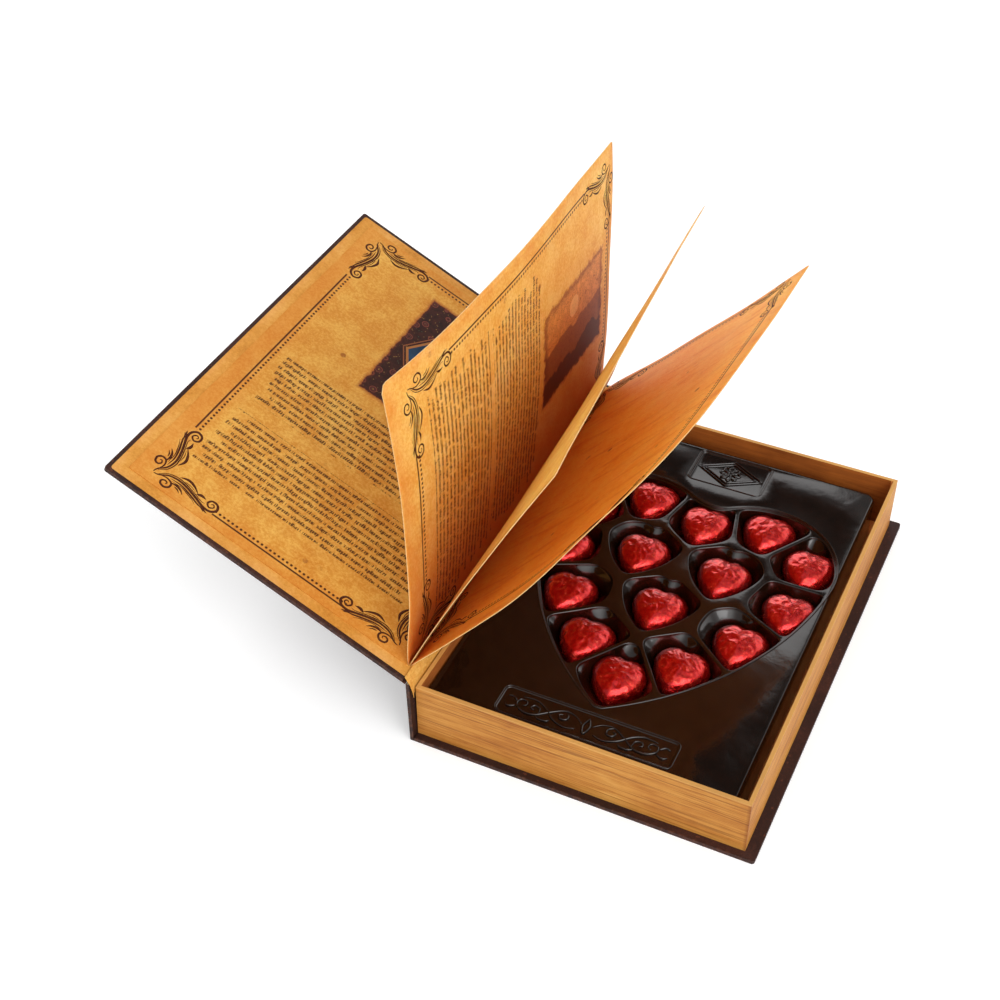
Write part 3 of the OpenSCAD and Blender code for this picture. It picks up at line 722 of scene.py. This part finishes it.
# ---------------- leaves
# Bend of each leaf: 2 numbers for how its width runs short, 4 for its lean along the spine, 3 for its bow
BENDS = [(-0.022, 0.014, -0.0423, 0.0029, 0.0342, -0.0173, -0.0106, 0.0106, -0.0106),
    (0.0362, 0.0538, 0.0034, 0.0537, -0.0042, -0.0016, 0.010, 0.0, 0.0),
    (0.0036, 0.0038, -0.0291, -0.0524, 0.0326, -0.0122, -0.0093, 0.0091, -0.0093)]


def leaf_point(k, u, v, h):
    """A point on leaf k, h off its middle towards the cover."""
    c0, c1, b0, b1, b2, b3, a0, a1, a2 = BENDS[k]
    t, w = v / LEAF_HALF, u / LEAF_W
    lean, bow = b0 + b1 * t + b2 * t * t + b3 * t ** 3, a0 + a1 * t + a2 * t * t
    d = u * lean + LEAF_W * 4 * w * (1 - w) * bow
    d *= 1 - math.exp(-(max(u, 0) / 20) ** 1.5)         # flat at the root
    wave = noise.noise(Vector((u * 0.018, v * 0.016, 3.1 * k))) * 0.9 * min(1, u / 40)
    a = math.radians(LEAF_ANGLES[k])
    x0, z0 = LEAF_ROOTS[k]
    run, lift = u * (1 - c0 - c1 * t), d + wave + h
    return (x0 + run * math.cos(a) - lift * math.sin(a), v, z0 + run * math.sin(a) + lift * math.cos(a))


def leaf(k, face_up, face_down, corner, cornered):
    """Sheet with the printed sides given, foot and head corner radii, and scrolls on the sides in cornered."""
    nu, nv = 44, 72
    vs = 0.5 * LEAF_HALF * np.sin(np.linspace(-math.pi / 2, math.pi / 2, nv + 1))
    vs += 0.5 * np.linspace(-LEAF_HALF, LEAF_HALF, nv + 1)
    verts, uvs = [], []
    for side in (1, -1):
        for v in vs:
            round_off = corner[0] if v < 0 else corner[1]
            over = max(0.0, abs(v) - (LEAF_HALF - round_off))
            reach = LEAF_W - round_off + math.sqrt(max(round_off ** 2 - over ** 2, 0))
            for i in range(nu + 1):
                u = reach * i / nu
                verts.append(leaf_point(k, u, v, side * LEAF_SKIN))
                uvs.append((u, v))
    faces, slots = two_sided(nu + 1, nv + 1, lambda i, j, s: (s * (nv + 1) + j) * (nu + 1) + i)
    for side in cornered:
        more, fs, us = scrolls(lambda u, v, h: leaf_point(k, u, v, side * (LEAF_SKIN + h)), PAGE_BORDER)
        base = len(verts)
        verts += more
        uvs += us
        faces += [tuple(base + x for x in (f[::-1] if side < 0 else f)) for f in fs]
        slots += [3] * len(fs)
    ob = make(f"page_{k + 1}_sheet", verts, faces, [face_up, face_down, M_EDGE, M_INK], uvs, slots)
    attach(ob, f"page_{k + 1}")
    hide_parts(f"leaf_{k + 1}")
    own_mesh(ob)


leaf(0, M_LEAF_PLAIN, M_LEAF_1, (4.0, 0.8), (1, -1))
leaf(1, M_LEAF_DEEP, M_LEAF_DEEP, (1.5, 0.8), ())
leaf(2, M_LEAF_3, M_LEAF_UNDER, (1.5, 0.8), (1, -1))


# ---------------- lining over the gutter
def lining():
    """Paper that runs from the leaves' roots over the fold and down between the spine and the box."""
    root = A1 + COVER_TURN @ np.array([-88.02 - FOLD_X, 36.4 - TOP_FOLD_Z])
    near_root = root * 0.62 + np.array([-89.3, 39.5]) * 0.38
    ys = np.concatenate([np.linspace(-128.3, -125.2, 6), np.linspace(-124, 128.3, 60)])
    grid = []
    for y in ys:
        end = max(0.0, (-124.6 - y) / 3.7)
        ripple = noise.noise(Vector((y * 0.05, 2.2, 0))) * 0.35
        path = [root, near_root + [0.25 * ripple, 0.1], (-90.15 + ripple, 40.7), (-89.15 + 0.5 * ripple, 39.4),
            (-88.72, 38.1), (-88.66 + 0.5 * end, 36.4), (-88.66 + 1.1 * end ** 1.5, 34.4),
            (-88.62 + 1.5 * end ** 1.5, 33.2 - 2.0 * end)]
        grid.append([(x, y, z) for x, z in smooth_path(path, 4)])
    g = np.array(grid)
    du, dv = np.gradient(g, axis=1), np.gradient(g, axis=0)
    n = np.cross(dv, du)
    n /= np.linalg.norm(n, axis=2)[..., None]
    rows, cols = g.shape[:2]
    verts = np.concatenate([(g + n * side * LINING_HALF).reshape(-1, 3) for side in (1, -1)])
    faces = two_sided(rows, cols, lambda i, j, s: (s * rows + i) * cols + j)[0]
    ob = make("gutter_lining", verts.tolist(), faces, [M_LINING])
    face_out(ob)
    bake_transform(ob)


lining()


# ---------------- tray
def round_rect(box, r, inset, n=6):
    x0, y0, x1, y1 = np.array(box) + [inset, inset, -inset, -inset]
    r = max(r - inset, 0.05)
    return np.array(arc((x1 - r, y0 + r), r, -90, 0, n) + arc((x1 - r, y1 - r), r, 0, 90, n)
        + arc((x0 + r, y1 - r), r, 90, 180, n) + arc((x0 + r, y0 + r), r, 180, 270, n))


def inside(poly, p):
    a, b = poly, np.roll(poly, -1, 0)
    cross = (a[:, 1] > p[1]) != (b[:, 1] > p[1])
    rise = np.where(b[:, 1] == a[:, 1], 1e-9, b[:, 1] - a[:, 1])
    x = a[:, 0] + (p[1] - a[:, 1]) * (b[:, 0] - a[:, 0]) / rise
    return (cross & (x > p[0])).sum() % 2 == 1


def fill(bm, outer, holes, z):
    """Flat sheet at z between an outline and the holes in it."""
    pts, edges, start = [], [], 0
    for ring in [outer] + holes:
        pts += [Vector((float(p[0]), float(p[1]))) for p in ring]
        edges += [(start + i, start + (i + 1) % len(ring)) for i in range(len(ring))]
        start += len(ring)
    vs, _, fs, *_ = geometry.delaunay_2d_cdt(pts, edges, [], 0, 1e-6)
    made = [bm.verts.new((p.x, p.y, z)) for p in vs]
    for f in fs:
        c = sum((vs[i] for i in f), Vector((0, 0))) / len(f)
        if inside(outer, c) and not any(inside(h, c) for h in holes):
            bm.faces.new([made[i] for i in f])


def rings(bm, loops, close=False):
    """Bands between rings of equal count, each a list of points in space, from the outside in."""
    rows = [[bm.verts.new(tuple(p)) for p in loop] for loop in loops]
    n = len(rows[0])
    for a, b in zip(rows, rows[1:]):
        for i in range(n):
            bm.faces.new((a[i], a[(i + 1) % n], b[(i + 1) % n], b[i]))
    if close:
        c = bm.verts.new(tuple(np.mean([v.co for v in rows[-1]], 0)))
        for i in range(n):
            bm.faces.new((rows[-1][i], rows[-1][(i + 1) % n], c))


def at_z(ring, z):
    return [(p[0], p[1], z) for p in ring]


# inset and share of the drop over the first half of a rounded step
FALL = [(0.0, 0.0), (0.16, 0.03), (0.32, 0.13), (0.46, 0.3), (0.54, 0.5)]


def step_profile(drop):
    """Insets and depths from one level down to another, rounded alike at both ends."""
    width = 2 * FALL[-1][0]
    return [(e, g * drop) for e, g in FALL] + [(width - e, drop - g * drop) for e, g in FALL[-2::-1]]


SPOKES = 96
REACHES = []          # of each pocket's mouth from its middle, along the spokes


def make_tray():
    """One formed sheet: deck, rolled skirt, plate and cartouche, and the basin with its drafted pockets."""
    bm = bmesh.new()
    outer = lambda inset: round_rect((TRAY_X, TRAY_Y, TRAY_X + TRAY_W, TRAY_HEAD), TRAY_CORNER, inset, 10)
    plate = lambda inset: round_rect(PLATE, RECESS_CORNER, inset)
    cart = lambda inset: round_rect(CARTOUCHE, RECESS_CORNER, inset)
    fill(bm, outer(1.6), [big_heart(0), plate(0), cart(0)], DECK_Z)
    roll = [(1.6, 0), (1.1, 0.06), (0.65, 0.3), (0.3, 0.7), (0.08, 1.25), (0, 2), (0, 12),
        (0, DECK_Z - FLOOR_Z - 0.8)]
    rings(bm, [at_z(outer(e), DECK_Z - g) for e, g in roll[::-1]])
    rings(bm, [at_z(outer(0), FLOOR_Z + 0.05), at_z(outer(0), FLOOR_Z + 0.8)])
    for shape, depth in ((plate, PLATE_DROP), (cart, CARTOUCHE_DROP)):
        prof = step_profile(depth)
        rings(bm, [at_z(shape(e), DECK_Z - g) for e, g in prof])
        fill(bm, shape(prof[-1][0]), [], DECK_Z - depth)
    prof = [(e * 0.55, g) for e, g in step_profile(DECK_Z - RIDGE_Z)]
    rings(bm, [at_z(big_heart(e), DECK_Z - g) for e, g in prof])
    _, dirs, own, bare = spokes(SPOKES)
    limit = big_heart(0.75)
    mouths = []
    for i, c in enumerate(PLACES):
        may = 1.7 if i >= INNER_FROM else 2.0
        reach = []              # to half-way to the nearest neighbour, the basin's edge or as far as it may
        for d, r in zip(dirs, own):
            parts = [r * may, ray_reach(c, d, limit)]
            for j, q in enumerate(PLACES):
                ahead = d @ (q - c)
                if j != i and ahead > 0:
                    gap = math.hypot(*(q - c))
                    parts.append((gap - RIDGE_W) / 2 * gap / ahead)
            reach.append(sum(p ** -14 for p in parts) ** (-1 / 14))
        reach = np.array(reach)
        for _ in range(3):
            reach = np.minimum(reach, 0.25 * np.roll(reach, 1) + 0.5 * reach + 0.25 * np.roll(reach, -1))
        mouths.append(c + dirs * reach[:, None])
        foot = np.maximum(np.minimum(own * 1.13, reach - 1.5), np.minimum(bare + 0.35, reach - 0.55))
        REACHES.append(reach)
        loops = [at_z(mouths[-1], RIDGE_Z)]
        for e, g in ((0.14, 0.02), (0.3, 0.1), (0.46, 0.28), (0.58, 0.55), (0.66, 0.9)):
            loops.append(at_z(c + dirs * (reach - e)[:, None], RIDGE_Z - g))
        top, low = RIDGE_Z - 0.9, POCKET_Z + 1.8
        for k in (0.06, 0.14, 0.24, 0.36, 0.5, 0.66, 0.83, 1.0):
            r = foot + (reach - 0.66 - foot) * (1 - k) ** 1.7
            loops.append(at_z(c + dirs * r[:, None], top + (low - top) * k))
        for e, g in ((0.2, 0.55), (0.6, 0.95), (1.1, 1.3), (1.8, 1.8)):
            loops.append(at_z(c + dirs * (foot - e)[:, None], low - g))
        loops.append(at_z(c + dirs * (foot * 0.45)[:, None], POCKET_Z))
        rings(bm, loops, close=True)
    fill(bm, big_heart(prof[-1][0]), mouths, RIDGE_Z)
    bmesh.ops.remove_doubles(bm, verts=bm.verts, dist=1e-3)
    for v in bm.verts:
        v.co *= MM
    bmesh.ops.recalc_face_normals(bm, faces=bm.faces)
    top = max(bm.faces, key=lambda f: f.calc_center_median().z)
    if top.normal.z < 0:
        bmesh.ops.reverse_faces(bm, faces=bm.faces)
    for f in bm.faces:
        f.smooth = True
    ob = make("tray_sheet_form", [], [], [M_TRAY])
    bm.to_mesh(ob.data)
    bm.free()
    m = ob.modifiers.new("sheet", "SOLIDIFY")
    m.thickness, m.offset = TRAY_SKIN * MM, -1
    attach(ob, "insert")
    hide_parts("tray")


make_tray()


def relief(name, paths, z, width, height):
    """Raised rounded lines pressed into the tray along paths; one that doesn't close thins to its ends."""
    verts, faces = [], []
    section = [(-1, -0.1), (-0.8, 0.45), (-0.4, 0.85), (0, 1), (0.4, 0.85), (0.8, 0.45), (1, -0.1)]
    for path in paths:
        closed = np.allclose(path[0], path[-1])
        p = path[:-1] if closed else path
        n = len(p)
        tan = (np.roll(p, -1, 0) - np.roll(p, 1, 0)) if closed else np.gradient(p, axis=0)
        tan = tan / np.maximum(np.hypot(tan[:, 0], tan[:, 1]), 1e-9)[:, None]
        start, m = len(verts), len(section)
        for i, (q, d) in enumerate(zip(p, tan)):
            thin = 1.0 if closed else max(0.25, math.sin(math.pi * (i + 0.6) / (n + 0.2)) ** 0.5)
            for a, b in section:
                off = a * width / 2 * thin
                verts.append((q[0] - d[1] * off, q[1] + d[0] * off, z + b * height * thin))
        for i in range(n if closed else n - 1):
            a, b = start + i * m, start + ((i + 1) % n) * m
            faces += [(a + k, a + (k + 1) % m, b + (k + 1) % m, b + k) for k in range(m)]
        if not closed:
            end = start + (n - 1) * m
            faces += [tuple(start + k for k in range(m))[::-1], tuple(end + k for k in range(m))]
    ob = make(name, verts, faces, [M_TRAY])
    face_out(ob)
    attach(ob, "insert")


def ring_path(points):
    return np.vstack([points, points[:1]])


beads = (round_rect(PLATE, RECESS_CORNER, -0.5), round_rect(CARTOUCHE, RECESS_CORNER, -0.5), big_heart(-0.5))
relief("tray_beads", [ring_path(bead) for bead in beads], DECK_Z - 0.12, 0.9, 0.5)

# an eight-petalled rosette in a double lozenge on the plate, a mirrored flourish in the cartouche
pc = np.array([TRAY_MX, TRAY_HEAD - 16])
rosette = []
for k in (1.0, 0.8):
    corners = np.array([[0, 10.6], [-18.5, 0], [0, -10.6], [18.5, 0]]) * k
    sides = [a + (b - a) * (i / 8) for a, b in zip(corners, np.roll(corners, -1, 0)) for i in range(8)]
    rosette.append(pc + np.vstack(sides + [corners[0]]))
for k in range(8):
    petal = smooth_path([(1.1, 0), (2.4, 1.15), (4.4, 1.35), (5.9, 0), (4.4, -1.35), (2.4, -1.15), (1.1, 0)], 4)
    rosette.append(pc + petal @ turned(45 * k).T)
relief("plate_rosette", rosette, DECK_Z - PLATE_DROP, 1.25, 0.8)
cc = np.array([TRAY_MX, TRAY_Y + 14.5])
flourish = []
for mirror in (1, -1):
    for pts in (
            [(2.5, 0.5), (7, 4), (13, 4.6), (19.5, 0.6), (25.5, -3.8), (31.5, -4.2), (36, -1), (35.4, 2.6),
                (32.2, 2.8), (31.4, 0.4), (33.2, -0.6)],
            [(4.5, -3.6), (10, -5), (16.5, -2.6), (22, 2.4), (27, 5), (31.5, 5.2), (35, 4.6)],
            [(13, 4.6), (10.2, 2.6), (10.4, -0.2), (13.2, -0.8), (14.6, 1.4), (12.8, 2.2)],
            [(25.5, -3.8), (22.6, -5.4), (19, -5.2), (17.6, -3.9)],
            [(24, -2.4), (24.6, 0.8), (27.4, 1.8), (28.8, -0.2), (27, -1)],
            [(36.2, -2), (39.6, -3.6), (42, -2.2)], [(36.6, 1), (39.4, 3.2), (41.8, 2.6)]):
        flourish.append(cc + smooth_path([(mirror * x, y) for x, y in pts], 4))
flourish.append(cc + smooth_path([(0, 4.8), (-1.7, 0), (0, -4.8), (1.7, 0), (0, 4.8)], 5))
relief("cartouche_flourish", flourish, DECK_Z - CARTOUCHE_DROP, 1.3, 0.85)


# ---------------- foil hearts
# outline and height of a wrapper from its foot to its crown, as shares of the heart's
PROFILE = smooth_path([(0.3, 0.0), (0.7, 0.0), (0.93, 0.01), (1.0, 0.06), (1.035, 0.15), (1.055, 0.26),
    (1.065, 0.38), (1.065, 0.5), (1.045, 0.61), (1.0, 0.715), (0.935, 0.81), (0.84, 0.89), (0.72, 0.955),
    (0.59, 1.0), (0.45, 1.035), (0.31, 1.06), (0.16, 1.075)], 3) * [1.055, 1.19]
CROWN = 1.284


def foil_heart(i):
    """Closed crinkled heart round the chocolate: smooth domed top, pleats and creases down the sides."""
    count = 112
    around, dirs, own, bare = spokes(count)
    mouth = np.linspace(0, 2 * math.pi, SPOKES + 1) - math.pi / 2
    limit = np.interp(around, mouth, list(REACHES[i]) + [REACHES[i][0]]) - FOIL_CLEAR
    limit = np.maximum(limit, bare + CHOC_CLEAR)
    verts, faces = [], []
    c = PLACES[i]
    mean = own.mean()
    rows = len(PROFILE)
    tilt = noise.noise(Vector((i * 3.7, 0.5, 0.2))) * 0.5
    for s, z in PROFILE:
        blunt = 0.08 + max(0.0, z - 0.5) * 0.7
        side = math.exp(-((z - 0.42) / 0.34) ** 2)
        up = max(0.0, (z - 0.6) / 0.45) ** 1.5
        for a, (ca, sa), r, most in zip(around, dirs, own, limit):
            r0 = (r * (1 - blunt) + mean * blunt) * s
            x, y = r0 * ca, r0 * sa
            p = Vector((x * 0.26 + i * 7.3, y * 0.26, z * 3.0 + i * 1.7))
            pleat = 1 - abs(noise.noise(Vector((ca * 5.6 + i * 3.1, sa * 5.6, z * 1.3 + a * 0.3)))) * 2
            facet = 1 - abs(noise.noise(p)) * 2.2
            small = 1 - abs(noise.noise(p * 2.8)) * 2
            out = ((pleat - 0.35) * 0.5 * side + (facet - 0.35) * (0.26 + 0.4 * side)
                + (small - 0.4) * (0.07 + 0.25 * side)) * min(1, z * 6 + 0.15)
            rr = min(r0 + out * (1 - up), most)
            lift = out * up + up * (x * tilt * 0.08)
            verts.append((c[0] + rr * ca, c[1] + rr * sa, POCKET_Z + z * HEART_H + lift))
    for k in range(rows - 1):
        faces += strip(k * count, (k + 1) * count, count)
    low, top = len(verts), len(verts) + 1
    verts += [(c[0], c[1], POCKET_Z + 0.02), (c[0], c[1], POCKET_Z + HEART_H * CROWN)]
    faces += [((m + 1) % count, m, low) for m in range(count)]
    faces += [((rows - 1) * count + m, (rows - 1) * count + (m + 1) % count, top) for m in range(count)]
    ob = make(f"wrapper_{i + 1:02d}", verts, faces, [foil(i + 1)])
    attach(ob, f"heart_{i + 1:02d}")
    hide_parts(f"foil_{i + 1:02d}")


for i in range(HEARTS):
    foil_heart(i)


# ---------------- stage, camera and light
scene = bpy.context.scene
scene.view_settings.view_transform = "Standard"


def make_floor():
    """Pale floor that keeps the object's shadow and shows white where it is seen."""
    t = Tree("floor_pale")
    f = t.noise(t.object_coords(), 0.004, 2, 0.5)
    colour = t.mix(((f - 0.3) / 0.4).clamp(), (0.9, 0.9, 0.9, 1), (0.93, 0.93, 0.93, 1))
    seen = t.ray("Camera").max(t.ray("Glossy")).max(t.ray("Transmission"))
    t.finish(colour, 0.9, Emission_Color=(1, 1, 1, 1), Emission_Strength=seen * 0.22)
    corners = [(x * 4000, y * 4000, -0.02) for x, y in ((-1, -1), (1, -1), (1, 1), (-1, 1))]
    floor = make("stage_floor", corners, [(0, 1, 2, 3)], [t.mat], smooth=False)


make_floor()


class Room(Tree):
    """The world's nodes."""

    def __init__(self, name):
        world = bpy.data.worlds.new(name)
        scene.world = world
        world.use_nodes = True
        self.nt = world.node_tree


def make_room():
    """Soft room: pale all round and low behind, with a dark part high behind that the tray mirrors."""
    room = Room("studio")
    x, y, z = room.split(room.new("ShaderNodeTexCoord").outputs["Generated"])
    behind = (y * 2.2 - 0.35).clamp()
    turn = x / y.max(0.05)
    low = ((0.652 - z) / 0.014).clamp()
    wing = ((-0.165 - turn) / 0.05).clamp()
    glow = ((turn + 0.24) / 0.05).clamp() * ((0.745 - z) / 0.03).clamp() * 0.3
    wall = low * (wing * 1.7 + 0.3 + ((turn - 0.05) / 0.3).clamp() * 1.3)
    back = wall + (1.0 - low) * (glow + 0.05) + ((z - 0.86) / 0.08).clamp() * 0.5
    lobe = (x * 0.55 - y * 0.62 + z * 0.56).clamp().op("POWER", 8.0) * 2.2
    level = (1.0 - behind) * (lobe + 0.56 + x * 0.12) + behind * back
    direct = room.ray("Camera")
    background = room.nt.nodes["Background"]
    room.put(background.inputs["Strength"], (1.0 - direct) * level + direct)
    room.put(background.inputs["Color"], (1, 1, 1, 1))


make_room()


def lamp(name, place, aim, size, power, glossy=True):
    d = bpy.data.lights.new(name, "AREA")
    d.shape, d.size, d.energy = "SQUARE", size, power
    ob = bpy.data.objects.new(name, d)
    scene.collection.objects.link(ob)
    ob.location = place
    ob.visible_glossy = glossy
    ob.rotation_euler = (Vector(aim) - Vector(place)).to_track_quat("-Z", "Y").to_euler()


lamp("key", (-0.35, -1.7, 1.65), (0, 0, 0.03), 1.2, 4.8, glossy=False)
lamp("right", (1.1, -0.75, 1.05), (0, 0, 0.05), 0.9, 6)
lamp("left", (-1.1, 0.1, 1.5), (0, 0, 0.05), 0.8, 4.5, glossy=False)

# camera as the photograph was taken
azimuth, elevation, roll = map(math.radians, (25.586, 40.821, -0.385))
cam = bpy.data.cameras.new("camera")
cam.lens, cam.sensor_width = 58.97, 36
camera = bpy.data.objects.new("camera", cam)
scene.collection.objects.link(camera)
camera.matrix_world = (Matrix.Translation((0.1823, -0.5934, 0.6198)) @ Matrix.Rotation(azimuth, 4, "Z")
    @ Matrix.Rotation(math.pi / 2 - elevation, 4, "X") @ Matrix.Rotation(roll, 4, "Z"))
scene.camera = camera
